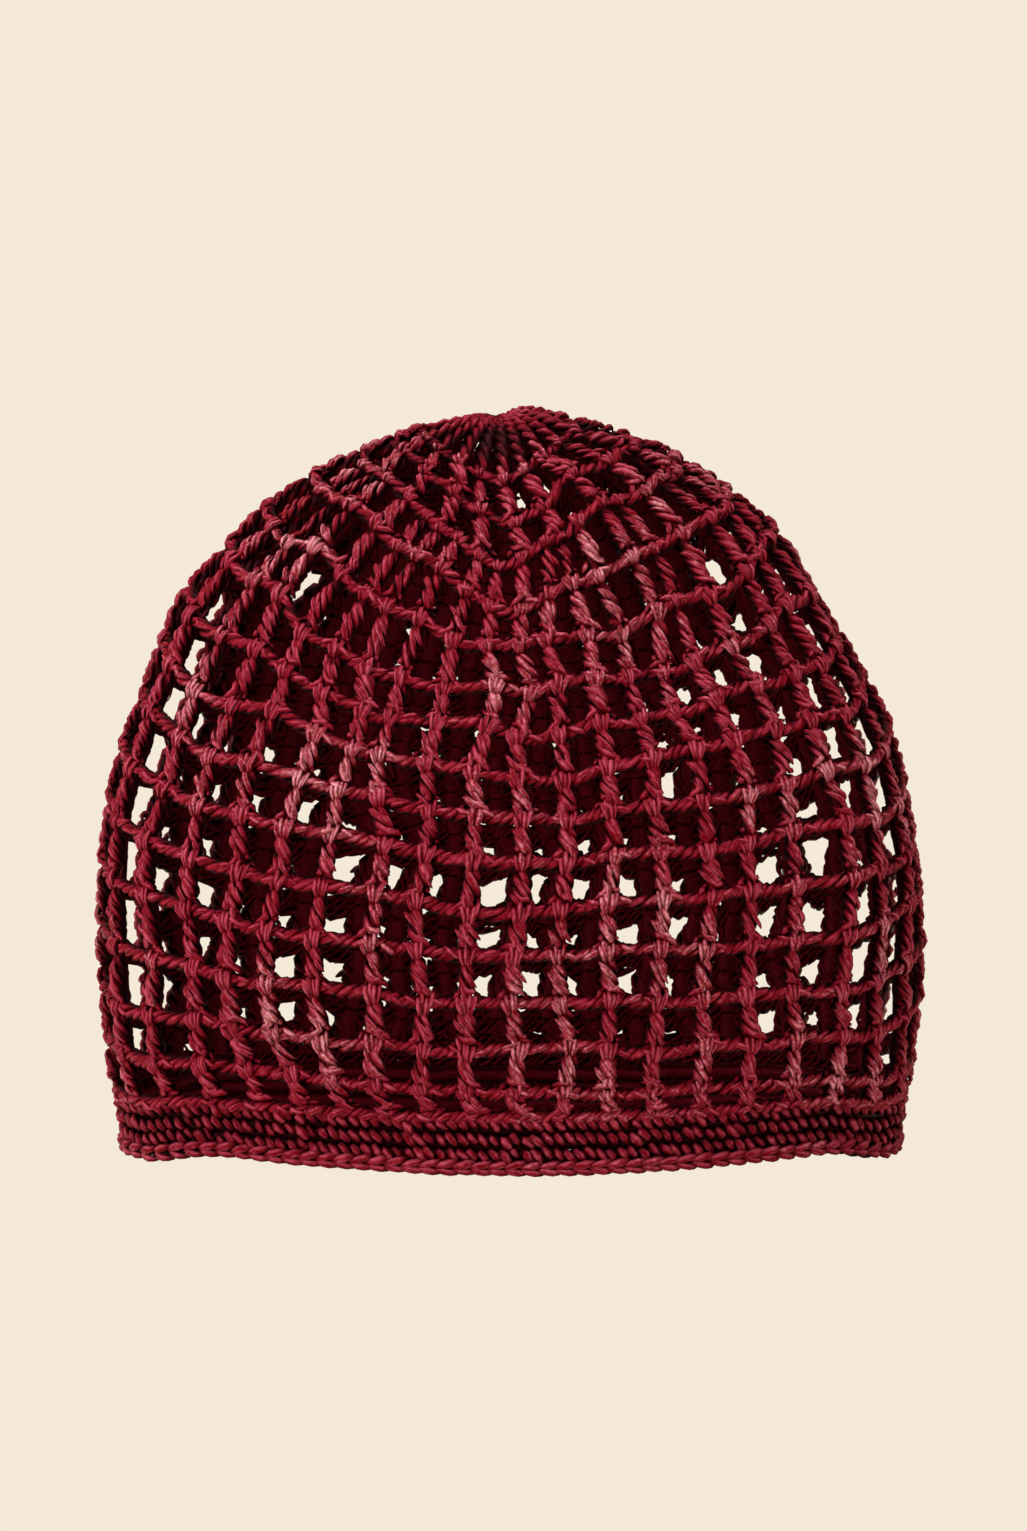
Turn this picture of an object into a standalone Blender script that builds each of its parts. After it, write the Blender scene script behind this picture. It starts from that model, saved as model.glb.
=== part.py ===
"""Crocheted open-mesh cap, empty and standing on its rim.

Metres, +Z up. The cap's front faces -Y and its widest direction lies along X. The origin is on
the surface that the rim rests on, under the middle of the cap.

The wall has one shape: a flattened round section that narrows upwards as the outline table says.
Heights in the net are levels, counted in crocheted rounds from the top of the band. A round dips
at the front and back and climbs at the sides, as the rounds table says. The net is cut through
at every second post, and its rows are a little over two rounds high. It is worked in one piece,
but it is built as three rings of rounds, so that each has simple collision hulls.
"""

import math

import bmesh
import bpy
import numpy as np
from mathutils import Vector

# Main sizes, at the middle of the wall
CAP_HEIGHT = 0.2025
HALF_WIDTH = 0.1105
HALF_DEPTH = 0.0660
APEX_SHIFT = -0.0030
SECTION_POWER = 2.4

# Chain edging round the rim
EDGE_HEIGHT = 0.0050
EDGE_THICKNESS = 0.0058
EDGE_FOOT_SHARE = 0.65
EDGE_TOP_SHARE = 0.55

# Band of tight rounds above it
BAND_ROUNDS = 3
BAND_ROUND_HEIGHT = 0.0041
BAND_THICKNESS = 0.0052
BAND_GROOVE = 0.0009

# Where the widest part of a bead or rib starts and ends, as shares of its height
BELLY_LOW = 0.30
BELLY_HIGH = 0.70

# Open net above the band
NET_COLUMNS = 21
NET_THICKNESS = 0.0042
STRUT_WIDTH = 0.0068
HOLE_EDGE_SHARE = 0.55
CORNER_EASE = 0.10
CORNER_ANGLE = math.radians(150)

# Gathered top that closes the net
CROWN_THICKNESS = 0.0042
CROWN_PLEATS = 21
PLEAT_DEPTH = 0.0022
CROWN_RINGS = 4

# Gaps between pieces that touch
CLEARANCE = 0.0003
SEAT_GAP = 0.0008
NET_GAP = 0.0008

# How finely the rings and the section are divided
RING_STATIONS = 63
SECTION_SAMPLES = 1440
SIDE_PITCH = 0.88
MERGE_DISTANCE = 0.00001
SHARP_ANGLE = math.radians(50)

BAND_TOP = EDGE_HEIGHT + BAND_ROUNDS * BAND_ROUND_HEIGHT + SEAT_GAP

# Outline of the wall: share of the height, share of the half width, share of the half depth
OUTLINE = (
    (0.00, 0.930, 0.930),
    (0.07, 0.950, 0.955),
    (0.13, 0.978, 0.975),
    (0.20, 0.992, 0.990),
    (0.30, 1.000, 1.000),
    (0.38, 0.999, 0.985),
    (0.47, 0.972, 0.950),
    (0.56, 0.930, 0.880),
    (0.65, 0.865, 0.790),
    (0.73, 0.790, 0.690),
    (0.80, 0.700, 0.580),
    (0.86, 0.605, 0.475),
    (0.91, 0.490, 0.365),
    (0.95, 0.360, 0.255),
    (0.98, 0.215, 0.145),
    (1.00, 0.000, 0.000),
)
ACROSS_COLUMN = 1
ALONG_COLUMN = 2

# Rounds of the net: level, then how far up the net it lies at the left, front and right
ROUNDS = (
    (0.0, 0.000, 0.000, 0.000),
    (1.0, 0.066, 0.029, 0.027),
    (2.0, 0.128, 0.089, 0.095),
    (4.0, 0.304, 0.219, 0.251),
    (6.0, 0.470, 0.353, 0.412),
    (8.0, 0.628, 0.472, 0.571),
    (10.0, 0.780, 0.590, 0.715),
    (12.0, 0.880, 0.714, 0.850),
    (14.0, 0.925, 0.838, 0.915),
    (16.0, 0.978, 0.955, 0.975),
    (17.0, 1.000, 1.000, 1.000),
)
LEFT_COLUMN = 1
FRONT_COLUMN = 2
RIGHT_COLUMN = 3
CROWN_LEVEL = 14.5
EYE_LEVEL = 17.0
ROUND_BOW = 1.4

# Rings of the net from the band up. Each has its rows: the width of the struts round a row's
# holes, as a share of the full width
NET_RINGS = (
    ("lower_net", (1.0, 1.0)),
    ("middle_net", (1.0, 1.0)),
    ("upper_net", (0.9, 0.7)),
)
NET_ROWS = sum(len(rows) for _, rows in NET_RINGS)

BURGUNDY = (0.190, 0.014, 0.026, 1.0)
BURGUNDY_DEEP = (0.160, 0.012, 0.022, 1.0)
YARN_ROUGHNESS = 0.85


def remove_old_objects():
    for old in list(bpy.data.objects):
        bpy.data.objects.remove(old)


def read_table(table, column, place):
    """A column's value at a place between rows, on a smooth curve through the rows."""
    last = len(table) - 1
    lower = 0
    while lower < last - 1 and table[lower + 1][0] < place:
        lower += 1
    before, start, end, after = (
        table[min(max(index, 0), last)] for index in range(lower - 1, lower + 3)
    )
    span = end[0] - start[0]
    share = min(max((place - start[0]) / span, 0.0), 1.0)
    slope_start = (end[column] - before[column]) / (end[0] - before[0]) * span
    slope_end = (after[column] - start[column]) / (after[0] - start[0]) * span
    rise = end[column] - start[column]
    return (
        start[column]
        + slope_start * share
        + (3 * rise - 2 * slope_start - slope_end) * share**2
        + (slope_start + slope_end - 2 * rise) * share**3
    )


def rounded(value):
    """Cosine or sine of a section angle, flattened as the section power asks."""
    return math.copysign(abs(value) ** (2 / SECTION_POWER), value)


def wall_point(angle, height, outward=0.0):
    """A point at the middle of the wall, or moved outward from it in its level plane."""
    share = height / CAP_HEIGHT
    half_width = HALF_WIDTH * read_table(OUTLINE, ACROSS_COLUMN, share)
    half_depth = HALF_DEPTH * read_table(OUTLINE, ALONG_COLUMN, share)
    across = rounded(math.cos(angle))
    along = rounded(math.sin(angle))
    point = Vector((half_width * across + APEX_SHIFT * share**2, half_depth * along, height))
    if outward == 0.0:
        return point
    steepness = SECTION_POWER - 1
    normal = Vector(
        (
            math.copysign(abs(across) ** steepness, across) / half_width,
            math.copysign(abs(along) ** steepness, along) / half_depth,
            0.0,
        )
    )
    return point + normal.normalized() * outward


def round_height(level, angle):
    """Height of a level of the net at a section angle."""
    across = rounded(math.cos(angle))
    side_column = LEFT_COLUMN if across < 0 else RIGHT_COLUMN
    front = read_table(ROUNDS, FRONT_COLUMN, level)
    side = read_table(ROUNDS, side_column, level)
    share = front + (side - front) * abs(across) ** ROUND_BOW
    return BAND_TOP + share * (CAP_HEIGHT - BAND_TOP)


def even_angles(count):
    """Section angles of equal steps round the cap, starting at the middle of the back."""
    fine = np.linspace(math.pi / 2, 5 * math.pi / 2, SECTION_SAMPLES + 1)
    across = HALF_WIDTH * np.sign(np.cos(fine)) * np.abs(np.cos(fine)) ** (2 / SECTION_POWER)
    along = HALF_DEPTH * np.sign(np.sin(fine)) * np.abs(np.sin(fine)) ** (2 / SECTION_POWER)
    steps = np.hypot(np.diff(across), SIDE_PITCH * np.diff(along))
    travelled = np.concatenate(([0.0], np.cumsum(steps)))
    wanted = np.linspace(0.0, travelled[-1], count + 1)[:-1]
    return [float(angle) for angle in np.interp(wanted, travelled, fine)]


def cotton(name, colour):
    material = bpy.data.materials.new(name)
    material.use_nodes = True
    shader = material.node_tree.nodes["Principled BSDF"]
    shader.inputs["Base Color"].default_value = colour
    shader.inputs["Roughness"].default_value = YARN_ROUGHNESS
    shader.inputs["Metallic"].default_value = 0.0
    return material


def finish_piece(shape, name, material):
    """Turns a bmesh into a named object with its own material."""
    bmesh.ops.recalc_face_normals(shape, faces=shape.faces)
    mesh = bpy.data.meshes.new(name)
    shape.to_mesh(mesh)
    shape.free()
    mesh.shade_smooth()
    mesh.set_sharp_from_angle(angle=SHARP_ANGLE)
    piece = bpy.data.objects.new(name, mesh)
    bpy.context.scene.collection.objects.link(piece)
    mesh.materials.append(material)
    return piece


def thicken(piece, thickness):
    """Gives a sheet its wall, half of it on each side."""
    wall = piece.modifiers.new("wall", "SOLIDIFY")
    wall.thickness = thickness
    wall.offset = 0.0
    return wall


def grid_places(vertex, columns, rows):
    """Column and row of a vertex of a unit grid."""
    return round((vertex.co.x + 0.5) * columns), round((vertex.co.y + 0.5) * rows)


def sweep_ring(section):
    """A closed ring whose section is given as outward distance and height."""
    angles = even_angles(RING_STATIONS)
    shape = bmesh.new()
    bmesh.ops.create_grid(shape, x_segments=RING_STATIONS, y_segments=len(section), size=0.5)
    for vertex in shape.verts:
        station, corner = grid_places(vertex, RING_STATIONS, len(section))
        outward, height = section[corner % len(section)]
        vertex.co = wall_point(angles[station % RING_STATIONS], height, outward)
    bmesh.ops.remove_doubles(shape, verts=shape.verts, dist=MERGE_DISTANCE)
    return shape


def build_edging():
    """Chain edging: a bead with a flat underside, which the cap rests on."""
    half = EDGE_THICKNESS / 2
    section = (
        (-EDGE_FOOT_SHARE * half, 0.0),
        (EDGE_FOOT_SHARE * half, 0.0),
        (half, BELLY_LOW * EDGE_HEIGHT),
        (half, BELLY_HIGH * EDGE_HEIGHT),
        (EDGE_TOP_SHARE * half, EDGE_HEIGHT),
        (-EDGE_TOP_SHARE * half, EDGE_HEIGHT),
        (-half, BELLY_HIGH * EDGE_HEIGHT),
        (-half, BELLY_LOW * EDGE_HEIGHT),
    )
    finish_piece(sweep_ring(section), "edging", cotton("Chain edging cotton", BURGUNDY))


def build_headband():
    """Band of tight rounds: each round is one rib outside, and the inside is plain."""
    half = BAND_THICKNESS / 2
    low = EDGE_HEIGHT + CLEARANCE
    high = BAND_TOP - SEAT_GAP
    rib = (high - low) / BAND_ROUNDS
    section = [(-half, high), (-half, low)]
    for index in range(BAND_ROUNDS):
        foot = low + index * rib
        section.append((half - BAND_GROOVE, foot))
        section.append((half, foot + BELLY_LOW * rib))
        section.append((half, foot + BELLY_HIGH * rib))
    section.append((half - BAND_GROOVE, high))
    finish_piece(sweep_ring(section), "headband", cotton("Band cotton", BURGUNDY_DEEP))


def net_level(row):
    """Level of the lower edge of a row of the net."""
    return CROWN_LEVEL * row / NET_ROWS


def net_point(level, angle, rise=0.0):
    return wall_point(angle, round_height(level, angle) + rise)


def ease_corners(holes):
    """Moves the corners of each hole towards its middle, so that holes are rounded squares."""
    moves = []
    for hole in holes:
        middle = hole.calc_center_median()
        for loop in hole.loops:
            if loop.calc_angle() < CORNER_ANGLE:
                moves.append((loop.vert, (middle - loop.vert.co) * CORNER_EASE))
    for vertex, move in moves:
        vertex.co += move


def build_net_ring(name, first_row, shares):
    """A ring of the open net: one cell for each hole, thickest along the middle of each strut."""
    columns = 2 * NET_COLUMNS
    rows = 2 * len(shares)
    angles = even_angles(columns)
    shape = bmesh.new()
    bmesh.ops.create_grid(shape, x_segments=columns, y_segments=rows, size=0.5)
    centres = [
        vertex
        for vertex in shape.verts
        if all(place % 2 for place in grid_places(vertex, columns, rows))
    ]
    bmesh.ops.dissolve_verts(shape, verts=centres)
    cells = [[] for _ in shares]
    for face in shape.faces:
        cells[int((face.calc_center_median().y + 0.5) * len(shares))].append(face)
    for vertex in shape.verts:
        column, row = grid_places(vertex, columns, rows)
        rise = NET_GAP if row == 0 and first_row else 0.0
        level = net_level(first_row + row / 2)
        vertex.co = net_point(level, angles[column % columns], rise)
    bmesh.ops.remove_doubles(shape, verts=shape.verts, dist=MERGE_DISTANCE)
    shape.normal_update()
    for row, share in enumerate(shares):
        width = STRUT_WIDTH * share
        bmesh.ops.inset_individual(
            shape, faces=cells[row], thickness=width / 2, use_even_offset=True
        )
    holes = [face for row in cells for face in row]
    ease_corners(holes)
    hole_edge = {vertex for face in holes for vertex in face.verts}
    weights = shape.verts.layers.deform.verify()
    for vertex in shape.verts:
        if vertex not in hole_edge:
            vertex[weights][0] = 1.0
    bmesh.ops.delete(shape, geom=holes, context="FACES_ONLY")
    piece = finish_piece(shape, name, cotton(f"Cotton of {name}", BURGUNDY))
    middle = piece.vertex_groups.new(name="middle of each strut")
    wall = thicken(piece, NET_THICKNESS)
    wall.vertex_group = middle.name
    wall.thickness_vertex_group = HOLE_EDGE_SHARE


def build_net():
    first_row = 0
    for name, shares in NET_RINGS:
        build_net_ring(name, first_row, shares)
        first_row += len(shares)


def build_crown_gather():
    """Gathered top: pleats that run from the net to the eye at the top."""
    levels = np.linspace(CROWN_LEVEL, EYE_LEVEL, CROWN_RINGS + 1)
    columns = 2 * CROWN_PLEATS
    angles = even_angles(columns)
    shape = bmesh.new()
    bmesh.ops.create_grid(shape, x_segments=columns, y_segments=CROWN_RINGS, size=0.5)
    ridges = []
    for vertex in shape.verts:
        column, row = grid_places(vertex, columns, CROWN_RINGS)
        rise = NET_GAP if row == 0 else 0.0
        vertex.co = net_point(float(levels[row]), angles[column % columns], rise)
        if column % 2 == 0 and 0 < row < CROWN_RINGS:
            ridges.append(vertex)
    bmesh.ops.remove_doubles(shape, verts=shape.verts, dist=MERGE_DISTANCE)
    bmesh.ops.recalc_face_normals(shape, faces=shape.faces)
    for vertex in ridges:
        if vertex.is_valid:
            vertex.co += vertex.normal * PLEAT_DEPTH
    piece = finish_piece(shape, "crown_gather", cotton("Crown cotton", BURGUNDY_DEEP))
    thicken(piece, CROWN_THICKNESS)


remove_old_objects()
build_edging()
build_headband()
build_net()
build_crown_gather()
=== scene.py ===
"""Looks of a burgundy crocheted mesh cap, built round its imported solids.

Metres, +Z up, the cap's front towards -Y. Every strand of yarn is a curve with a round section
that is turned into a mesh: posts, bars, band rounds, rim chain and the gathered top.

A place on the wall is given by a column and a level. Columns count the net's posts round the
cap, from the middle of the back by way of the left side, so the front lies half way round.
Levels count its rounds from the top of the band to the eye at the top.
"""

import math
import random

import bmesh
import bpy
import numpy as np
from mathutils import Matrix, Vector, noise


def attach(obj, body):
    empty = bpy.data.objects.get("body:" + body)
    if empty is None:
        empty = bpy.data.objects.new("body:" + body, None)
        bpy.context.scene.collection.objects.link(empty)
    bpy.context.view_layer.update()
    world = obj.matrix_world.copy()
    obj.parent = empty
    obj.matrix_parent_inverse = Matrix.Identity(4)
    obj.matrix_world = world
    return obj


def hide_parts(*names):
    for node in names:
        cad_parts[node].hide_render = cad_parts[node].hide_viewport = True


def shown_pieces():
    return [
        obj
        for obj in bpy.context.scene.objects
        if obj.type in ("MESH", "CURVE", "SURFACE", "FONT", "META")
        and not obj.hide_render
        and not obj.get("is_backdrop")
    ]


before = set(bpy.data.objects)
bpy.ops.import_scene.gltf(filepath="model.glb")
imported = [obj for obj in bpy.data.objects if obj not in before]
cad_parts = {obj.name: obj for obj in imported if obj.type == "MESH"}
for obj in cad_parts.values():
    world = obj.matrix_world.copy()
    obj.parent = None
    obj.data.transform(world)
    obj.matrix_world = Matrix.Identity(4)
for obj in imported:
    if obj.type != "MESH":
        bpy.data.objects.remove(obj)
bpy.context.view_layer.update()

# Main sizes, as in the solids
CAP_HEIGHT = 0.2025
HALF_WIDTH = 0.1105
HALF_DEPTH = 0.0660
APEX_SHIFT = -0.0030
SECTION_POWER = 2.4
ROUND_BOW = 1.4
BAND_ROUNDS = 3
BAND_ROUND_HEIGHT = 0.0041
BAND_TOP = 0.0181

# Outline of the wall: share of the height, share of the half width, share of the half depth
OUTLINE = (
    (0.00, 0.930, 0.930),
    (0.07, 0.950, 0.955),
    (0.13, 0.978, 0.975),
    (0.20, 0.992, 0.990),
    (0.30, 1.000, 1.000),
    (0.38, 0.999, 0.985),
    (0.47, 0.972, 0.950),
    (0.56, 0.930, 0.880),
    (0.65, 0.865, 0.790),
    (0.73, 0.790, 0.690),
    (0.80, 0.700, 0.580),
    (0.86, 0.605, 0.475),
    (0.91, 0.490, 0.365),
    (0.95, 0.360, 0.255),
    (0.98, 0.215, 0.145),
    (1.00, 0.000, 0.000),
)
ACROSS_COLUMN = 1
ALONG_COLUMN = 2
OUTLINE_STEPS = 201
OUTLINE_TOP = 0.9995

# Rounds of the net: level, then how far up the net it lies at the left, front and right
ROUNDS = (
    (0.0, 0.000, 0.000, 0.000),
    (1.0, 0.066, 0.029, 0.027),
    (2.0, 0.128, 0.089, 0.095),
    (4.0, 0.304, 0.219, 0.251),
    (6.0, 0.470, 0.353, 0.412),
    (8.0, 0.628, 0.472, 0.571),
    (10.0, 0.780, 0.590, 0.715),
    (12.0, 0.900, 0.708, 0.860),
    (14.0, 0.970, 0.832, 0.950),
    (16.0, 0.996, 0.950, 0.992),
    (17.0, 1.000, 0.988, 1.000),
)
LEFT_COLUMN = 1
FRONT_COLUMN = 2
RIGHT_COLUMN = 3
EYE_LEVEL = 17
ROUND_TOP = 0.999
ROUND_TRIES = 3

# Top: from these levels on, the rounds run round the pole, which lies forward and a little low
POLE_LEVELS = (9.0, 13.0)
POLE_FORWARD = 0.0060
POLE_FORWARD_HEIGHT = 0.185
POLE_BACK_LIFT = 0.0022
POLE_RIGHT_LIFT = 0.0014
POLE_LIFT_LEVELS = (13, 16)

# Net: posts in a round, where the first one stands, how much travel to the back counts for their
# spacing, the level from which every second one goes on, and the last bar under the eye
COLUMNS = 40
STEPS_IN_A_COLUMN = 4
FINE_BEARINGS = 361
FIRST_POST = 0.15
SIDE_PITCH = 0.55
HALVING_LEVEL = 13
LAST_BAR = 15

# The back of the cap is slack: its posts and bars lie across the front's holes, half a column and
# half a level from the front's own, and are thicker
BACK_THICKNESS = 1.74
BACK_THICKNESS_START = 0.05
BACK_THICKNESS_REACH = 0.45
BACK_STEEPNESS = 1.6
BACK_STAGGER = 0.5
BACK_MOVE_LIMIT = 0.90
BACK_SEARCH_REACH = 1.2
BACK_SEARCH_STEPS = 4

# Holes that show the backdrop through both walls: place across and height, in millimetres
WINDOWS = (
    (-61, 155), (4, 174), (60, 159), (33, 180), (68, 154), (-57, 95), (-78, 105), (46, 120), (41, 97),
    (-45, 77), (-29, 77), (-5, 70), (6, 69), (22, 79), (-82, 62), (-58, 56), (-45, 56),
    (-6, 57), (21, 68), (39, 65), (70, 75), (80, 79), (71, 61), (94, 68), (84, 55),
    (-6, 43), (6, 44), (-57, 42), (-67, 43), (33, 43), (70, 39), (91, 40),
    (-17, 22), (-2, 20), (42, 23), (-90, 130), (-88, 78), (81, 124), (86, 95),
    (-52, 171), (66, 146), (-91, 113), (52, 121), (59, 131), (75, 24), (16, 21),
    (-93, 48), (85, 110), (93, 52), (-64, 32),
)
WINDOW_REACH = 8.6
WINDOW_SHARE = 0.54

# The outermost holes of the front are open all the way up, out of this share of the half width
SLIT_START = 0.86
SLIT_REACH = 0.06
SLIT_TOP = 0.165
SLIT_FADE = 0.02

# Feet of the lowest posts stand to the right of their heads at the left of the front
FOOT_LEAN = 0.42
FOOT_LEAN_MIDDLE = 14.3
FOOT_LEAN_REACH = 4.0
FOOT_LEAN_LEVELS = 2

# Unevenness of the hand work, in columns and levels: greater in the upper rounds, and calmed over
# the first levels above the band and the last ones under the eye
COLUMN_DRIFT = 0.19
LEVEL_DRIFT = 0.10
FINE_DRIFT = 0.45
UPPER_DRIFT = 1.9
UPPER_DRIFT_LEVELS = (7, 10)
CALM_FOOT_LEVELS = 2
CALM_TOP_LEVELS = 3

# Noise round the cap: radius of the ring that it is read on, rise in a level, and its strength
NOISE_RADIUS = 3.2
NOISE_RISE = 0.55
NOISE_SEED_STEP = 17.0
NOISE_STRENGTH = 1.8

# Slow waves of the cloth: how far they swell, the height in which they fade, radians in a metre
WAVE_DEPTH = 0.0010
WAVE_FADE = 0.03
BROAD_WAVES = (105, 31)
RISING_WAVES = (74, 23)
RISING_WAVE_START = 1.1
SMALL_WAVES = (190, 60)
SMALL_WAVE_SHARE = 0.6

# The yarn lies inside the solids' outer face, and more so at both shoulders and on the left of
# the top
YARN_INSET = 0.0013
YARN_INSET_REACH = 0.01
SHOULDER_INSET = 0.0014
SHOULDER_HEIGHT = 0.136
SHOULDER_REACH = 0.020
TOP_INSET = 0.0028
TOP_INSET_START = 0.155
TOP_INSET_REACH = 0.030
TOP_INSET_MIDDLE = 0.2
TOP_INSET_WIDTH = 0.04
TOP_DROP = 0.0020
TOP_DROP_START = 0.180
TOP_DROP_REACH = 0.016

# The first rounds stand lower at the front, and the rim lifts beside it
FRONT_DROP = 0.0020
FRONT_DROP_LEVELS = 3
RIM_LIFT = 0.0036
RIM_LIFT_PLACES = (0.0, 0.25, 0.50, 0.77, 0.85, 0.94)
RIM_LIFT_SHARES = (0.0, 0.15, 0.55, 1.00, 0.75, 0.00)
RIM_LIFT_REACH = 0.045

# Creases of the front: place across and height of the lower and upper end, depth and reach
CREASES = (
    (-0.040, 0.098, -0.030, 0.152, 0.0030, 0.009),
    (0.043, 0.110, 0.034, 0.152, 0.0028, 0.009),
    (-0.066, 0.022, -0.076, 0.052, 0.0016, 0.012),
)
CREASE_POWER = 0.7

# How far posts are drawn to a crease: column, lowest and highest level, reach, pull in columns
GATHERS = (
    (16.3, 6.5, 12.5, 1.3, 0.40),
    (24.8, 7.5, 12.5, 1.2, 0.38),
)

# The photo's view: image height, pixels in a metre at the cap's middle, and where it is seen from
PHOTO_HEIGHT = 1531
PIXELS_PER_METRE = 3700.0
CAMERA_DISTANCE = 1.8
CAMERA_RISE = math.radians(4.0)
CAMERA_AIM = (0.0007, 0.0, 0.1039)
SENSOR = 0.036

rng = random.Random(7)


# The wall


def read_table(table, column, place):
    """A column's value at a place between rows, on a smooth curve through the rows."""
    last = len(table) - 1
    lower = 0
    while lower < last - 1 and table[lower + 1][0] < place:
        lower += 1
    before, start, end, after = (
        table[min(max(index, 0), last)] for index in range(lower - 1, lower + 3)
    )
    span = end[0] - start[0]
    share = min(max((place - start[0]) / span, 0.0), 1.0)
    slope_start = (end[column] - before[column]) / (end[0] - before[0]) * span
    slope_end = (after[column] - start[column]) / (after[0] - start[0]) * span
    rise = end[column] - start[column]
    return (
        start[column]
        + slope_start * share
        + (3 * rise - 2 * slope_start - slope_end) * share**2
        + (slope_start + slope_end - 2 * rise) * share**3
    )


FIELD_SHARES = np.linspace(0.0, 1.0, OUTLINE_STEPS)
FIELD_WIDTHS = [read_table(OUTLINE, ACROSS_COLUMN, share) for share in FIELD_SHARES]
FIELD_DEPTHS = [read_table(OUTLINE, ALONG_COLUMN, share) for share in FIELD_SHARES]


def half_sizes(height):
    """Half width and half depth of the wall at a height, or at an array of heights."""
    share = np.clip(height / CAP_HEIGHT, 0.0, OUTLINE_TOP)
    half_width = HALF_WIDTH * np.interp(share, FIELD_SHARES, FIELD_WIDTHS)
    return half_width, HALF_DEPTH * np.interp(share, FIELD_SHARES, FIELD_DEPTHS)


def axis_shift(height):
    """Where the axis lies at a height: it leans to the left, and forward near the top."""
    share = height / CAP_HEIGHT
    forward = np.clip((height - POLE_FORWARD_HEIGHT) / (CAP_HEIGHT - POLE_FORWARD_HEIGHT), 0.0, 1.0)
    return APEX_SHIFT * share**2, -POLE_FORWARD * forward


def wall_point(bearing, height):
    """Middle of the wall at a height, in the direction of a bearing from the axis."""
    half_width, half_depth = half_sizes(height)
    across = math.cos(bearing)
    along = math.sin(bearing)
    ratio = (abs(across) / half_width) ** SECTION_POWER + (abs(along) / half_depth) ** SECTION_POWER
    reach = ratio ** (-1 / SECTION_POWER)
    shift_x, shift_y = axis_shift(height)
    return Vector((reach * across + shift_x, reach * along + shift_y, height))


def round_height(level, bearing):
    """Height of a level of the net at a bearing. Levels under 0 lie in the band."""
    if level < 0:
        return BAND_TOP + level * BAND_ROUND_HEIGHT
    across = abs(math.cos(bearing))
    along = abs(math.sin(bearing))
    side_column = LEFT_COLUMN if math.cos(bearing) < 0 else RIGHT_COLUMN
    front = read_table(ROUNDS, FRONT_COLUMN, level)
    side = read_table(ROUNDS, side_column, level)
    polar = way_between(POLE_LEVELS, level)
    share = front
    for _ in range(ROUND_TRIES):
        half_width, half_depth = half_sizes(BAND_TOP + share * (CAP_HEIGHT - BAND_TOP))
        ratio = (across / half_width) ** SECTION_POWER + (along / half_depth) ** SECTION_POWER
        flat = across / half_width * ratio ** (-1 / SECTION_POWER)
        share = front + (side - front) * (flat + (across - flat) * polar) ** ROUND_BOW
    top = way_between(POLE_LIFT_LEVELS, level)
    tilt = POLE_BACK_LIFT * max(math.sin(bearing), 0.0) + POLE_RIGHT_LIFT * math.cos(bearing)
    return min(BAND_TOP + share * (CAP_HEIGHT - BAND_TOP) + tilt * top, CAP_HEIGHT * ROUND_TOP)


def spaced_angles(level):
    """Bearings that divide a level's ring into equal stitches, at fine steps."""
    fine = np.linspace(math.pi / 2, 5 * math.pi / 2, FINE_BEARINGS)
    points = np.array([wall_point(bearing, round_height(level, bearing)) for bearing in fine])
    steps = np.diff(points, axis=0) * (1.0, SIDE_PITCH, 1.0)
    travelled = np.concatenate(([0.0], np.cumsum(np.linalg.norm(steps, axis=1))))
    stitches = np.linspace(0.0, travelled[-1], STEPS_IN_A_COLUMN * COLUMNS + 1)
    return np.interp(stitches, travelled, fine)


def smooth_step(share):
    """0 up to a share of 0 and 1 from a share of 1 on, with soft ends between."""
    share = min(max(share, 0.0), 1.0)
    return share * share * (3 - 2 * share)


def way_between(levels, level):
    """How far a level is on its way from one level to another, with soft ends."""
    low, high = levels
    return smooth_step((level - low) / (high - low))


RING_ANGLES = [spaced_angles(min(level, EYE_LEVEL - 1)) for level in range(EYE_LEVEL + 1)]


def angle_at(place, level):
    """Bearing of a place in columns, at a level."""
    turns, share = divmod(place / COLUMNS, 1.0)
    lower = int(min(max(level, 0), EYE_LEVEL - 1))
    mix = min(max(level - lower, 0.0), 1.0)
    at = share * STEPS_IN_A_COLUMN * COLUMNS
    steps = np.arange(STEPS_IN_A_COLUMN * COLUMNS + 1)
    low = np.interp(at, steps, RING_ANGLES[lower])
    high = np.interp(at, steps, RING_ANGLES[lower + 1])
    return float(low + (high - low) * mix) + turns * 2 * math.pi


def soft_noise(place, level, seed):
    """Smooth noise that closes round the cap, from about -1 to 1."""
    turn = 2 * math.pi * place / COLUMNS
    across, along = NOISE_RADIUS * math.cos(turn), NOISE_RADIUS * math.sin(turn)
    up = NOISE_RISE * level + NOISE_SEED_STEP * seed
    return noise.noise(Vector((across, along, up))) * NOISE_STRENGTH


def plain_point(place, level):
    """Middle of the wall at a place, without slack or unevenness."""
    angle = angle_at(place, level)
    return wall_point(angle, round_height(level, angle))


def wall_frame(place, level):
    """Directions to the right, up and out of the wall, seen from outside."""
    step = 0.05
    across = plain_point(place + step, level) - plain_point(place - step, level)
    top = min(level + step, EYE_LEVEL - 0.2)
    up = plain_point(place, top) - plain_point(place, top - 2 * step)
    across.normalize()
    out = across.cross(up).normalized()
    return across, out.cross(across), out


def gathered(place, level):
    """How far a place is drawn sideways by the creases, in columns."""
    pull = 0.0
    for column, low, high, reach, draw in GATHERS:
        away = (place - column) / reach
        rise = (level - low) / (high - low)
        if abs(away) < 3 and 0 < rise < 1:
            swell = math.sin(math.pi * rise) ** CREASE_POWER
            pull -= draw * swell * away * math.exp(-(away**2))
    return pull


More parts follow.
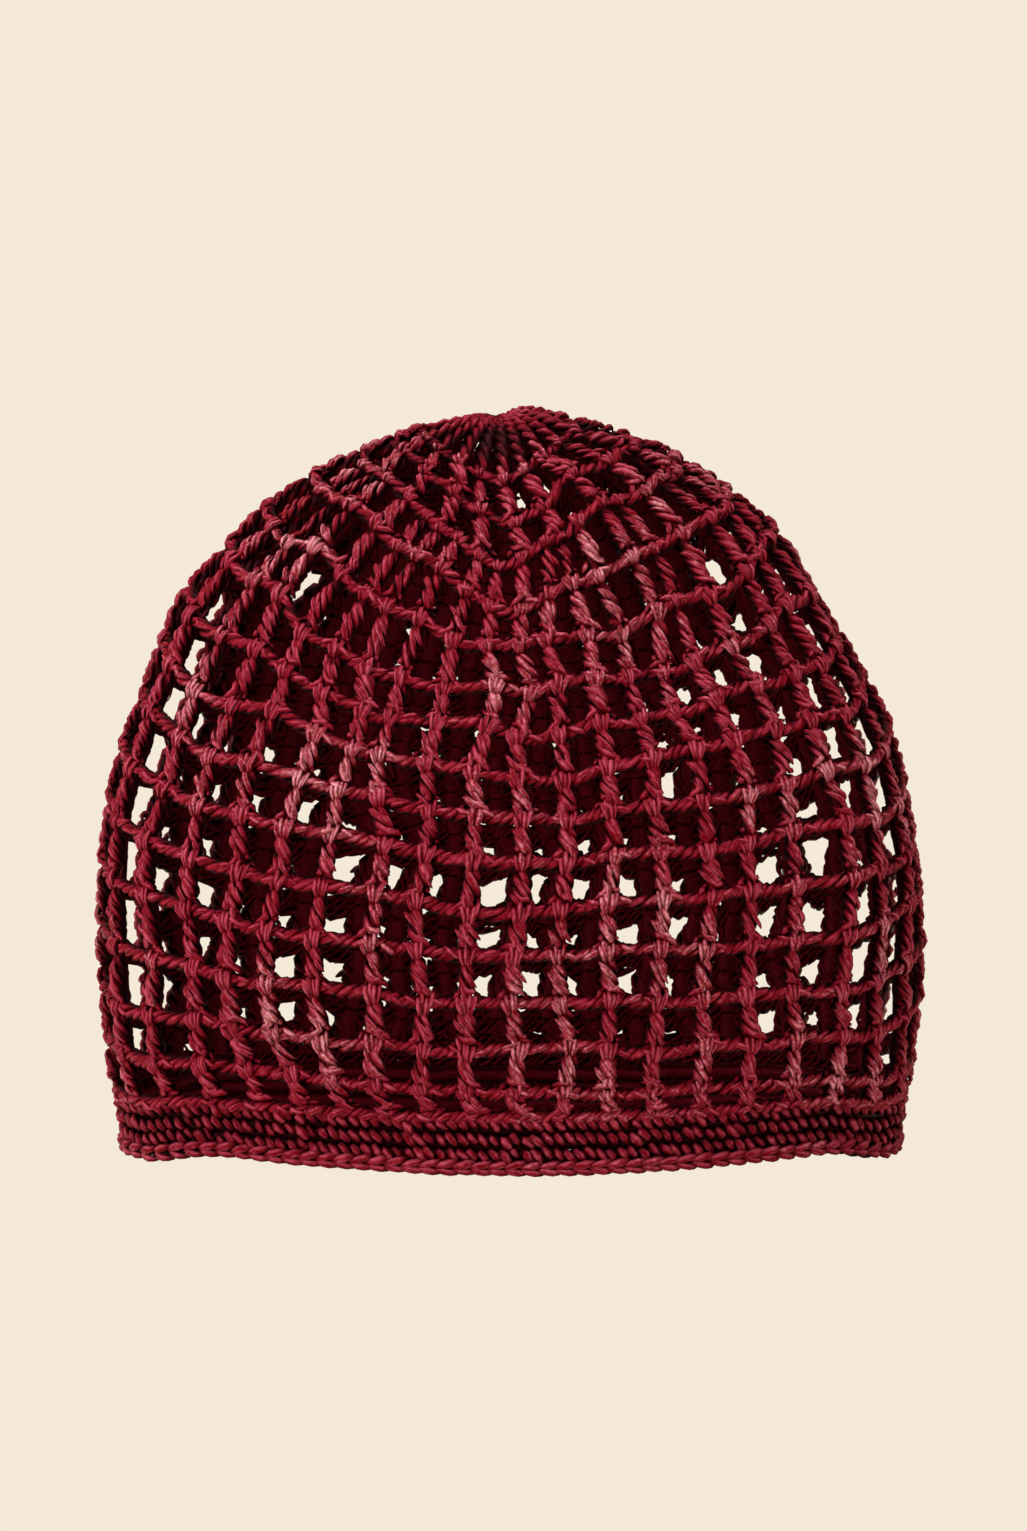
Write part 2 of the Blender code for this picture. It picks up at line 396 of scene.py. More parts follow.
def slack(points):
    """How far the cloth stands out from the plain wall at some points."""
    x, y, z = points[:, 0], points[:, 1], points[:, 2]
    rise = np.clip((z - BAND_TOP) / WAVE_FADE, 0.0, 1.0)
    rise *= np.clip((CAP_HEIGHT - z) / WAVE_FADE, 0.0, 1.0)
    wave = np.sin(BROAD_WAVES[0] * x + BROAD_WAVES[1] * z)
    wave *= np.sin(RISING_WAVES[0] * z - RISING_WAVES[1] * x + RISING_WAVE_START)
    wave += SMALL_WAVE_SHARE * np.sin(SMALL_WAVES[0] * x + SMALL_WAVES[1] * y)
    out = WAVE_DEPTH * wave * rise
    out -= YARN_INSET * np.clip((z - BAND_TOP) / YARN_INSET_REACH, 0.0, 1.0)
    out -= SHOULDER_INSET * np.exp(-(((z - SHOULDER_HEIGHT) / SHOULDER_REACH) ** 2))
    left = np.clip(TOP_INSET_MIDDLE - x / TOP_INSET_WIDTH, 0.0, 1.0)
    out -= TOP_INSET * np.clip((z - TOP_INSET_START) / TOP_INSET_REACH, 0.0, 1.0) * left
    for x_low, z_low, x_high, z_high, depth, reach in CREASES:
        share = np.clip((z - z_low) / (z_high - z_low), 0.0, 1.0)
        away = (x - x_low - (x_high - x_low) * share) / reach
        out -= depth * np.sin(np.pi * share) ** CREASE_POWER * np.exp(-(away**2)) * (y < 0)
    return out


def behind(place):
    """1 at the back of the cap and 0 at its front, with soft ends at the sides."""
    return smooth_step(0.5 + BACK_STEEPNESS * math.cos(2 * math.pi * place / COLUMNS))


def fullness(place):
    """How thick the yarn is at a place: thicker at the back than at the sides and front."""
    turn = math.cos(2 * math.pi * place / COLUMNS)
    back = smooth_step((turn - BACK_THICKNESS_START) / BACK_THICKNESS_REACH)
    return 1 + (BACK_THICKNESS - 1) * back


def rim_lift(point):
    """How far the soft rim stands off the table at a point."""
    place = min(abs(point.x) / HALF_WIDTH / OUTLINE[0][ACROSS_COLUMN], 1.0)
    fade = max(1 - point.z / RIM_LIFT_REACH, 0.0)
    return RIM_LIFT * float(np.interp(place, RIM_LIFT_PLACES, RIM_LIFT_SHARES)) * fade


def seen(point):
    """Where a point is seen in the photo's view, in metres across and up in the plane of its aim."""
    away = point - Vector(CAMERA_AIM)
    towards = -away.y * math.cos(CAMERA_RISE) + away.z * math.sin(CAMERA_RISE)
    up = away.y * math.sin(CAMERA_RISE) + away.z * math.cos(CAMERA_RISE)
    scale = CAMERA_DISTANCE / (CAMERA_DISTANCE - towards)
    return np.array((away.x * scale, up * scale + CAMERA_AIM[2]))


def drifted(place, level):
    """A place and level of the front, with its creases and unevenness."""
    loose = 1 + (UPPER_DRIFT - 1) * way_between(UPPER_DRIFT_LEVELS, level)
    across = place + gathered(place, level) + COLUMN_DRIFT * loose * soft_noise(place, level, 1)
    rise = soft_noise(place, level, 2) + FINE_DRIFT * soft_noise(place * 2, level, 11)
    return across, level + LEVEL_DRIFT * loose * rise


def window_share(spot):
    """How near a seen spot is to one of the see-through holes."""
    share = 0.0
    for across, height in WINDOWS:
        gap = math.hypot(spot[0] * 1000 - across, spot[1] * 1000 - height)
        share = max(share, math.exp(-((gap / WINDOW_REACH) ** 2)))
    half_width = half_sizes(min(max(spot[1], 0.0), SLIT_TOP))[0]
    side = (abs(spot[0] - APEX_SHIFT / 2) / half_width - SLIT_START) / SLIT_REACH
    fade = smooth_step((SLIT_TOP - spot[1]) / SLIT_FADE)
    return max(share, smooth_step(side) * fade)


def find_behind(from_back, level):
    """Move of a knot of the back, in columns and levels, so that it is seen in a front hole."""
    opposite = COLUMNS / 2 - from_back + 2 * FIRST_POST - BACK_STAGGER
    target = seen(plain_point(*drifted(opposite, level + BACK_STAGGER)))
    open_share = WINDOW_SHARE * window_share(target)
    target = seen(plain_point(*drifted(opposite + open_share, level + BACK_STAGGER + open_share)))
    place = from_back
    height = level
    step = 0.05
    for _ in range(BACK_SEARCH_STEPS):
        here = seen(plain_point(place, height))
        by_place = (seen(plain_point(place + step, height)) - here) / step
        by_level = (seen(plain_point(place, height + step)) - here) / step
        slopes = np.array((by_place, by_level)).T
        if abs(np.linalg.det(slopes)) < 1e-6:
            break
        move = np.linalg.solve(slopes, target - here)
        reach = BACK_SEARCH_REACH
        place = min(max(place + move[0], from_back - reach), from_back + reach)
        height = min(max(height + move[1], level - 1.0, 0.0), level + 1.0, EYE_LEVEL - 0.3)
    limit = BACK_MOVE_LIMIT
    return (
        min(max(place - from_back, -limit), limit),
        min(max(height - level, -limit), limit),
    )


GRID_REACH = 13
BACK_MOVES = np.array(
    [
        [find_behind(spot / 2, level) for spot in range(-2 * GRID_REACH, 2 * GRID_REACH + 1)]
        for level in range(EYE_LEVEL + 1)
    ]
)


def back_move(from_back, level):
    """The move of any place of the back, between those found."""
    row = min(max(level, 0.0), EYE_LEVEL - 0.001)
    spot = min(max((from_back + GRID_REACH) * 2, 0.0), 4 * GRID_REACH - 0.001)
    low_row, low_spot = int(row), int(spot)
    up, along = row - low_row, spot - low_spot
    low = BACK_MOVES[low_row, low_spot] * (1 - along) + BACK_MOVES[low_row, low_spot + 1] * along
    high = BACK_MOVES[low_row + 1, low_spot] * (1 - along)
    high = high + BACK_MOVES[low_row + 1, low_spot + 1] * along
    return low * (1 - up) + high * up


def knot(place, level):
    """Where a post meets a bar, with the unevenness of hand work."""
    back = behind(place)
    calm_top = min((EYE_LEVEL - level) / CALM_TOP_LEVELS, 1.0)
    calm = min(level / CALM_FOOT_LEVELS, 1.0) * calm_top
    from_back = (place + COLUMNS / 2) % COLUMNS - COLUMNS / 2
    move = back_move(from_back, level) if back > 0 else (0.0, 0.0)
    front_place, front_level = drifted(place, level)
    moved = place + calm * (front_place - place) * (1 - back) + calm_top * move[0] * back
    lifted = level + calm * ((front_level - level) * (1 - back) + move[1] * back)
    lean = math.exp(-(((place % COLUMNS - FOOT_LEAN_MIDDLE) / FOOT_LEAN_REACH) ** 2))
    moved += FOOT_LEAN * lean * max(1 - level / FOOT_LEAN_LEVELS, 0.0)
    point = plain_point(moved, lifted)
    out = wall_frame(place, level)[2]
    point += out * float(slack(np.array([point]))[0])
    point.z -= FRONT_DROP * (1 - back) * max(1 - level / FRONT_DROP_LEVELS, 0.0)
    point.z += rim_lift(point)
    point.z -= TOP_DROP * smooth_step((point.z - TOP_DROP_START) / TOP_DROP_REACH)
    return point


# Yarn


def make_yarn(name, strands, material):
    """One mesh of many strands. A strand is a list of points and their radii."""
    curve = bpy.data.curves.new(name, "CURVE")
    curve.dimensions = "3D"
    curve.bevel_depth = 1.0
    curve.bevel_resolution = 1
    curve.use_fill_caps = True
    for points, radii, closed in strands:
        spline = curve.splines.new("POLY")
        spline.points.add(len(points) - 1)
        flat = np.ones((len(points), 4), np.float32)
        flat[:, :3] = points
        spline.points.foreach_set("co", flat.ravel())
        spline.points.foreach_set("radius", np.array(radii, np.float32))
        spline.use_cyclic_u = closed
        spline.use_smooth = True
    holder = bpy.data.objects.new(name + "_curve", curve)
    bpy.context.scene.collection.objects.link(holder)
    depsgraph = bpy.context.evaluated_depsgraph_get()
    mesh = bpy.data.meshes.new_from_object(holder.evaluated_get(depsgraph))
    bpy.data.objects.remove(holder)
    mesh.name = name
    mark_relief(mesh)
    mesh.materials.clear()
    mesh.materials.append(material)
    mesh.shade_smooth()
    piece = bpy.data.objects.new(name, mesh)
    bpy.context.scene.collection.objects.link(piece)
    return piece


# Near the top, relief is measured straight up: from what height, in what reach, and the search
TOP_START = 0.186
TOP_REACH = 0.010
TOP_SEARCH_FLOOR = 0.15
TOP_SEARCH_STEPS = 16


def wall_field(points, height):
    """Ratio of each point's distance from the axis to the wall's own at a height."""
    half_width, half_depth = half_sizes(height)
    shift_x, shift_y = axis_shift(height)
    across = np.abs(points[:, 0] - shift_x) / half_width
    along = np.abs(points[:, 1] - shift_y) / half_depth
    return (across**SECTION_POWER + along**SECTION_POWER) ** (1 / SECTION_POWER)


def height_over_top(points):
    """How far points near the top lie above the wall, straight up."""
    low = np.full(len(points), TOP_SEARCH_FLOOR)
    high = np.full(len(points), CAP_HEIGHT)
    for _ in range(TOP_SEARCH_STEPS):
        middle = (low + high) / 2
        outside = wall_field(points, middle) > 1
        high = np.where(outside, middle, high)
        low = np.where(outside, low, middle)
    return points[:, 2] - low


def mark_relief(mesh):
    """Store how far out of the wall each vertex lies in mm, and how far it faces out of it, which the
    yarn's colour uses for painted shade and painted highlights.
    """
    points = np.empty(len(mesh.vertices) * 3)
    mesh.vertices.foreach_get("co", points)
    points = points.reshape(-1, 3)
    normals = np.array([value.vector for value in mesh.vertex_normals])
    share = np.clip((points[:, 2] - TOP_DROP_START) / TOP_DROP_REACH, 0.0, 1.0)
    points[:, 2] += TOP_DROP * share * share * (3 - 2 * share)
    value = wall_field(points, points[:, 2])
    step = 0.0002
    slopes = []
    for axis in range(3):
        moved = points + np.eye(3)[axis] * step
        slopes.append((wall_field(moved, moved[:, 2]) - value) / step)
    slopes = np.array(slopes).T
    steepness = np.maximum(np.linalg.norm(slopes, axis=1), 1.0)
    relief = (value - 1) / steepness
    outward = slopes / steepness[:, None]
    near_top = points[:, 2] > TOP_START
    if near_top.any():
        share = np.clip((points[near_top, 2] - TOP_START) / TOP_REACH, 0.0, 1.0)
        over = height_over_top(points[near_top])
        relief[near_top] += (over - relief[near_top]) * share
        up = np.array((0.0, 0.0, 1.0))
        outward[near_top] += (up - outward[near_top]) * share[:, None]
    relief -= slack(points)
    facing = (normals * outward).sum(axis=1)
    for name, values in (("relief", relief * 1000), ("facing", facing)):
        store = mesh.attributes.new(name, "FLOAT", "POINT")
        store.data.foreach_set("value", values.astype(np.float32))


# Fingers of a post that grip the bar above it: across, thickness, height
FINGERS = (
    (-0.00160, 0.00062, -0.0003),
    (-0.00052, 0.00066, 0.0006),
    (0.00056, 0.00064, 0.0000),
    (0.00158, 0.00058, 0.0005),
)

# Path of a finger: rise from the knot, outward, share of its spread, share of its thickness
FINGER_PATH = (
    (-0.0036, 0.0006, 0.40, 0.35),
    (-0.0022, 0.0019, 0.68, 0.92),
    (-0.0006, 0.0023, 0.98, 1.22),
    (0.0010, 0.0018, 1.16, 1.16),
    (0.0020, 0.0004, 1.22, 0.72),
    (0.0004, -0.0014, 1.00, 0.60),
)

# Feet of a post: across, rise and outward of the end of each ply, and its thickness share
FEET = (
    (-0.0036, 0.0004, 0.0010, 1.15),
    (0.0024, 0.0024, 0.0018, 1.20),
    (0.0040, 0.0004, 0.0006, 1.15),
    (-0.0022, 0.0026, 0.0014, 1.10),
    (0.0006, 0.0010, -0.0010, 1.00),
)
FEET_SHARE = 0.28

# Body of a post: where it starts and ends, its twist, its plies, and how it tucks under the fingers
BODY_FOOT = 0.0004
BODY_TOP = 0.84
BODY_TURN = 0.0170
BODY_RADIUS = 0.00184
BODY_PLY = 0.00086
BODY_STEPS = 9
BODY_CORE = (0.05, 0.45, 0.98)
BODY_CORE_SHARE = 0.86
BODY_CORE_SINK = 0.0003
BODY_PLY_SHARES = (0.68, 0.46)
BODY_END_SHARE = 0.40
TUCK_START = 0.75
TUCK_ACROSS = 0.35
TUCK_OUT = 0.4
TUCK_SINK = 0.0003
PLY_BULGE = 0.12

# Fingers are shorter on posts under this length, and lift above this point of their path
FINGER_LENGTH = 0.0100
FINGER_ROOT = -0.003

# Stray leaf on a post: share of its half length, and how far it bows out
STRAY_LEAF = ((-1.0, 0.0), (-0.5, 0.8), (0.0, 1.0), (0.5, 0.8), (1.0, 0.0))
STRAY_LEAVES = 3
STRAY_HALF_LENGTH = 0.0019
STRAY_OUT = 0.0012
STRAY_BOW = 0.0013
STRAY_RISES = (0.16, 0.68)
STRAY_SIDES = (0.0004, 0.0017)
STRAY_SLANTS = (0.0006, 0.0018)
STRAY_GIRTHS = (0.00052, 0.00078)


def post(bottom, top, out, size=1.0, fan=1.0):
    """The strands of one post: a twisted body with its feet and a fan of fingers."""
    up = top - bottom
    length = up.length
    up.normalize()
    out = (out - up * out.dot(up)).normalized()
    across = up.cross(out)
    across = (across + up * rng.uniform(-0.16, 0.16)).normalized()

    def local(right, rise, outward):
        return bottom + across * right + up * rise + out * outward

    strands = []
    turn = BODY_TURN * rng.uniform(0.80, 1.20)
    start = rng.uniform(0.0, 2 * math.pi)
    for ply, (foot_across, foot_rise, foot_out, foot_share) in enumerate(FEET):
        phase = start + ply * 2 * math.pi / len(FEET)
        phase += rng.uniform(-0.35, 0.35)
        girth = BODY_PLY * rng.uniform(0.80, 1.20)
        swing = BODY_RADIUS * size * rng.uniform(0.88, 1.14)
        points = []
        radii = []
        for step in range(BODY_STEPS + 1):
            share = step / BODY_STEPS
            rise = BODY_FOOT + (length * BODY_TOP - BODY_FOOT) * share
            angle = phase - 2 * math.pi * rise / turn
            right = swing * math.sin(angle)
            outward = swing * (math.cos(angle) + PLY_BULGE * math.cos(2 * angle))
            thick = girth * (BODY_PLY_SHARES[0] + BODY_PLY_SHARES[1] * math.cos(angle))
            blend = smooth_step(share / FEET_SHARE)
            tuck = smooth_step((share - TUCK_START) / (1 - TUCK_START))
            right = foot_across * size * (1 - blend) + right * blend * (1 - TUCK_ACROSS * tuck)
            outward = foot_out * (1 - blend) + outward * blend * (1 - TUCK_OUT * tuck)
            outward -= TUCK_SINK * tuck
            thick = BODY_PLY * foot_share * (1 - blend) + thick * blend
            if step in (0, BODY_STEPS):
                thick *= BODY_END_SHARE
            points.append(local(right, rise + foot_rise * (1 - blend), outward))
            radii.append(thick * size)
        strands.append((points, radii, False))
    core = [local(0.0, length * share, -BODY_CORE_SINK) for share in BODY_CORE]
    strands.append((core, [BODY_RADIUS * BODY_CORE_SHARE * size] * len(core), False))
    for _ in range(STRAY_LEAVES):
        rise = length * rng.uniform(*STRAY_RISES)
        side = rng.choice((-1, 1)) * rng.uniform(*STRAY_SIDES)
        slant = rng.uniform(*STRAY_SLANTS)
        girth = rng.uniform(*STRAY_GIRTHS)
        points = []
        radii = []
        for share, bow in STRAY_LEAF:
            right = (side - slant * share) * size
            outward = (STRAY_OUT + STRAY_BOW * bow) * size
            points.append(local(right, rise + STRAY_HALF_LENGTH * share, outward))
            radii.append(girth * (0.35 + 0.65 * bow) * size)
        strands.append((points, radii, False))
    squeeze = min(length / FINGER_LENGTH, 1.0) * fan
    lean = rng.uniform(-0.0005, 0.0004)
    for across_place, thickness, height in FINGERS:
        nudge = lean + rng.uniform(-0.00025, 0.00025)
        lift = height + rng.uniform(-0.0005, 0.0005)
        girth = thickness * rng.uniform(0.84, 1.14)
        stand = rng.uniform(0.80, 1.15)
        points = []
        radii = []
        for rise, outward, spread, share in FINGER_PATH:
            right = (across_place * spread * (0.6 + 0.4 * fan) + nudge * spread) * size
            level = length + (rise * squeeze + (lift if rise > FINGER_ROOT else 0.0)) * size
            points.append(local(right, level, outward * stand * (0.5 + 0.5 * size)))
            radii.append(girth * share * size * (0.7 + 0.3 * fan))
        strands.append((points, radii, False))
    return strands


# Posts: least size, room that adds a whole size to it, and where their fans of fingers narrow
LEAST_SIZE = 0.34
ROOM_OF_A_SIZE = 0.0130
FAN_LEVELS = (9, 13)
FAN_NARROWING = 0.45


def posts_of_round(level):
    """Posts that stand on one bar and grip the next."""
    strands = []
    step = 1 if level < HALVING_LEVEL else 2
    narrow = way_between(FAN_LEVELS, level)
    for column in range(0, COLUMNS, step):
        place = column + FIRST_POST
        bottom = knot(place, level)
        top = knot(place, level + 1)
        out = wall_frame(place, level + 0.5)[2]
        half = 0.5 * step
        room = (knot(place + half, level + 0.5) - knot(place - half, level + 0.5)).length
        size = min(1.0, LEAST_SIZE + room / ROOM_OF_A_SIZE) * rng.uniform(0.92, 1.08)
        size *= fullness(place)
        fan = 1.0 - FAN_NARROWING * narrow * (1 - 0.5 * behind(place))
        strands += post(bottom, top, out, size, fan)
    return strands


# Bars: plies, radius of their twist up and outward, ply, length of a turn, points in a turn, and
# how they slim towards the eye
BAR_PLIES = 5
BAR_RISE = 0.00150
BAR_OUT = 0.00128
BAR_PLY = 0.00090
BAR_PLY_SHARES = (0.64, 0.50)
BAR_CORE_SHARE = 0.9
BAR_TURN = 0.0140
BAR_STEPS = 7
BAR_SAG = 0.0004
BAR_INSET = -0.0003
BAR_SLIM = 0.75
BAR_SLIM_LEVELS = 4
RING_SAMPLES = 169


def ring_length(level):
    """Length round the wall at a level."""
    points = [plain_point(place, level) for place in np.linspace(0, COLUMNS, RING_SAMPLES)]
    return sum((b - a).length for a, b in zip(points, points[1:]))


# Leaf that lies across a bar's plies: along, outward, thickness
BAR_LEAF = (
    (-0.0021, 0.0008, 0.00028),
    (-0.0008, 0.0021, 0.00074),
    (0.0008, 0.0021, 0.00074),
    (0.0021, 0.0008, 0.00028),
)
BAR_LEAVES = 2


def bar_leaves(level, slim):
    """Short slanting leaves in pairs between the posts, over the plies of a bar."""
    strands = []
    for number in range(COLUMNS * BAR_LEAVES):
        place = (number + rng.uniform(0.35, 0.95)) / BAR_LEAVES + FIRST_POST
        across, up, out = wall_frame(place, level)
        size = slim * fullness(place) * rng.uniform(0.85, 1.15)
        side = rng.uniform(-0.0007, 0.0007)
        slant = rng.choice((-1, 1)) * rng.uniform(0.25, 0.60)
        centre = knot(place, level) + up * side + out * BAR_INSET
        points = []
        radii = []
        for along, outward, thickness in BAR_LEAF:
            turned = across * along + up * along * slant
            points.append(centre + (turned + out * outward) * size)
            radii.append(thickness * size)
        strands.append((points, radii, False))
    return strands


def bar(level):
    """Plies twisted round the cap behind the fingers, over a plain core."""
    turns = max(round(ring_length(level) / BAR_TURN), 6)
    count = turns * BAR_STEPS
    slim = BAR_SLIM + (1 - BAR_SLIM) * min((EYE_LEVEL - level) / BAR_SLIM_LEVELS, 1.0)
    centres = []
    for index in range(count):
        place = COLUMNS * index / count
        across, up, out = wall_frame(place, level)
        half_way = math.sin(math.pi * ((place - FIRST_POST) % 1.0)) ** 2
        centre = knot(place, level) - up * BAR_SAG * half_way + out * BAR_INSET
        wander = 1 + 0.22 * soft_noise(place * 3, level, 4)
        size = slim * fullness(place)
        centres.append((centre, up, out, wander, size, place))
    strands = []
    shift = rng.uniform(0, 2 * math.pi)
    for ply in range(BAR_PLIES):
        points = []
        radii = []
        for index, (centre, up, out, wander, size, place) in enumerate(centres):
            angle = shift + ply * 2 * math.pi / BAR_PLIES + 2 * math.pi * index / BAR_STEPS
            angle += 0.9 * soft_noise(place * 2, level, 5) + 0.4 * soft_noise(place * 5, ply, 9)
            rise = BAR_RISE * size * wander * math.sin(angle)
            outward = BAR_OUT * size * (math.cos(angle) + PLY_BULGE * math.cos(2 * angle))
            points.append(centre + up * rise + out * outward)
            uneven = 1 + 0.24 * soft_noise(place * 7 + ply * 3, level, 7)
            swell = BAR_PLY_SHARES[0] + BAR_PLY_SHARES[1] * math.cos(angle)
            radii.append(BAR_PLY * size * uneven * swell)
        strands.append((points, radii, True))
    core = [centre for centre, up, out, wander, size, place in centres[::3]]
    strands.append((core, [BAR_RISE * BAR_CORE_SHARE * slim] * len(core), True))
    if level < HALVING_LEVEL:
        strands += bar_leaves(level, slim)
    return strands


# Band


# Rounds: height of the first, length of a wrap, its half sizes and lean, its yarn, core and seam
FIRST_ROUND = 0.0061
BAND_WRAP = 0.0033
BAND_STEPS = 9
BAND_HALF_HEIGHT = 0.00158
BAND_HALF_DEPTH = 0.00165
BAND_LEAN = 0.85
BAND_PLY = 0.00106
BAND_WOBBLE = 0.0006
BAND_CORE = 0.0013
BAND_CORE_SINK = 0.0002
SEAM = 0.0018
SEAM_SINK = 0.0012
BAND_FRAME_TOP = -0.2


def rim_place(place, height):
    """A point of the wall under the net, with its directions."""
    level = (height - BAND_TOP) / BAND_ROUND_HEIGHT
    angle = angle_at(place, 0)
    point = wall_point(angle, height)
    point.z += rim_lift(point)
    across, up, out = wall_frame(place, min(level, BAND_FRAME_TOP))
    return point, across, up, out


def band_round(number):
    """One tight round: yarn wound over a core, each wrap leaning back, and a seam under it."""
    middle = FIRST_ROUND + number * BAND_ROUND_HEIGHT
    wraps = round(ring_length(0) / BAND_WRAP)
    count = wraps * BAND_STEPS
    points = []
    radii = []
    core = []
    seam = []
    for index in range(count):
        place = COLUMNS * index / count
        centre, across, up, out = rim_place(place, middle)
        centre = centre + up * BAND_WOBBLE * soft_noise(place * 5, number, 8)
        wrap = index // BAND_STEPS
        angle = 2 * math.pi * index / BAND_STEPS
        angle += 0.5 * soft_noise(place * 9, number, 6)
        uneven = noise.noise(Vector((wrap * 0.9, number * 5.0, 3.0)))
        slant = 1 + 1.2 * noise.noise(Vector((wrap * 0.47, number * 3.0, 9.0)))
        taller = 1 + 0.80 * uneven
        front = max(math.cos(angle), 0.0)
        rise = -BAND_HALF_HEIGHT * taller * math.sin(angle)
        outward = BAND_HALF_DEPTH * (1 + 0.25 * uneven) * math.cos(angle)
        along = -BAND_LEAN * slant * rise * front
        points.append(centre + up * rise + out * outward + across * along)
        radii.append(BAND_PLY * (0.34 + 0.74 * front) * (1 + 0.45 * uneven))
        if index % (2 * BAND_STEPS) == 0:
            core.append(centre - out * BAND_CORE_SINK)
            seam.append(centre - up * BAND_ROUND_HEIGHT / 2 - out * SEAM_SINK)
    strands = [(points, radii, True), (core, [BAND_CORE] * len(core), True)]
    strands.append((seam, [SEAM] * len(seam), True))
    return strands


# Rim chain


CHAIN_PITCH = 0.0053
CHAIN_MIDDLE = 0.0024

# Leaf of a chain stitch: along, away from the middle line, outward, thickness
LEAF_PATH = (
    (-0.0008, 0.0001, 0.0004, 0.00035),
    (0.0006, 0.0004, 0.0016, 0.00080),
    (0.0024, 0.0011, 0.0022, 0.00118),
    (0.0042, 0.0017, 0.0021, 0.00122),
    (0.0058, 0.0021, 0.0013, 0.00090),
    (0.0068, 0.0022, 0.0002, 0.00045),
)
CORE_PLIES = 2
CORE_DEPTH = 0.0010
CORE_PLY = 0.0012
CORE_RISE = 0.0009
CORE_OUT = 0.0007
CORE_STEPS = 4


def rim_chain():
    """Slip stitches: leaves in pairs that open to the right, over a two-ply core."""
    stitches = round(ring_length(0) / CHAIN_PITCH)
    strands = []
    for stitch in range(stitches):
        place = COLUMNS * stitch / stitches
        centre, across, up, out = rim_place(place, CHAIN_MIDDLE)
        for side, drop in ((1, 0.85), (-1, 0.55)):
            grow = rng.uniform(0.90, 1.08)
            tilt = rng.uniform(0.85, 1.10)
            points = []
            radii = []
            for along, away, outward, thickness in LEAF_PATH:
                rise = side * away * drop * tilt
                points.append(centre + across * along + up * rise + out * outward)
                radii.append(thickness * grow * (1.0 if side > 0 else 0.85))
            strands.append((points, radii, False))
    count = stitches * CORE_STEPS
    for ply in range(CORE_PLIES):
        points = []
        for index in range(count):
            place = COLUMNS * index / count
            centre, across, up, out = rim_place(place, CHAIN_MIDDLE)
            angle = ply * 2 * math.pi / CORE_PLIES + math.pi * index / CORE_STEPS
            outward = CORE_OUT * math.cos(angle) - CORE_DEPTH
            points.append(centre + up * CORE_RISE * math.sin(angle) + out * outward)
        strands.append((points, [CORE_PLY] * count, True))
    return strands


# Top


# Spokes: plies, twist and thickness, then the eye, and the humps that they make round it
SPOKE_PLIES = 3
SPOKE_TURN = 0.0085
SPOKE_STEPS = 16
SPOKE_RADIUS = 0.00135
SPOKE_PLY = 0.00100
EYE_RADIUS = 0.0013
EYE_DEPTH = 0.0026
EYE_SINK = 0.0036
HUMP_RISE = 0.0010
HUMP_LEAN = 0.0013
HUMP_REACH = 3.6
HEAD_REACH = 0.4

# Rings under the eye, and the plug that closes it
RING_DROPS = (0.0024, 0.0038)
RING_POINTS = 20
RING_SIZE = 1.3
RING_WIDENING = 1.5
RING_PLY = 0.0010
PLUG_BOTTOM = 0.0056
PLUG_TOP = 0.0026
PLUG_RADII = (0.0026, 0.0018)


def crown_eye():
    """Ropes that gather the last round to the pole, and the rings that they pass through."""
    strands = []
    shift_x, shift_y = axis_shift(CAP_HEIGHT)
    pole = Vector((shift_x, shift_y, CAP_HEIGHT - EYE_SINK))
    for column in range(0, COLUMNS, 2):
        place = column + FIRST_POST
        foot = knot(place, LAST_BAR)
        inward = Vector((foot.x - pole.x, foot.y - pole.y, 0.0)).normalized()
        head = pole + inward * EYE_RADIUS * HEAD_REACH - Vector((0, 0, EYE_DEPTH))
        rise = HUMP_RISE + HUMP_LEAN * inward.x + rng.uniform(0.0, 0.0010)
        hump = pole + inward * EYE_RADIUS * HUMP_REACH + Vector((0, 0, rise))
        side = Vector((0, 0, 1)).cross(inward)
        length = (hump - foot).length + (head - hump).length
        start = rng.uniform(0, 2 * math.pi)
        for ply in range(SPOKE_PLIES):
            points = []
            radii = []
            for step in range(SPOKE_STEPS + 1):
                share = step / SPOKE_STEPS
                centre = foot * (1 - share) ** 2 + hump * 2 * share * (1 - share) + head * share**2
                angle = start + ply * 2 * math.pi / SPOKE_PLIES
                angle -= 2 * math.pi * length * share / SPOKE_TURN
                size = SPOKE_RADIUS * (1 - 0.62 * share**2)
                lift = Vector((0, 0, 1)) * math.cos(angle) + side * math.sin(angle)
                points.append(centre + lift * size)
                radii.append(SPOKE_PLY * (1 - 0.45 * share**2) * (0.85 + 0.30 * math.cos(angle)))
            strands.append((points, radii, False))
    for drop in RING_DROPS:
        points = []
        for index in range(RING_POINTS):
            angle = 2 * math.pi * index / RING_POINTS
            flat = Vector((RING_WIDENING * math.cos(angle), math.sin(angle), 0.0))
            points.append(pole + flat * EYE_RADIUS * RING_SIZE - Vector((0, 0, drop)))
        strands.append((points, [RING_PLY] * RING_POINTS, True))
    plug = [pole - Vector((0, 0, PLUG_BOTTOM)), pole - Vector((0, 0, PLUG_TOP))]
    strands.append((plug, PLUG_RADII, False))
    return strands


# Materials


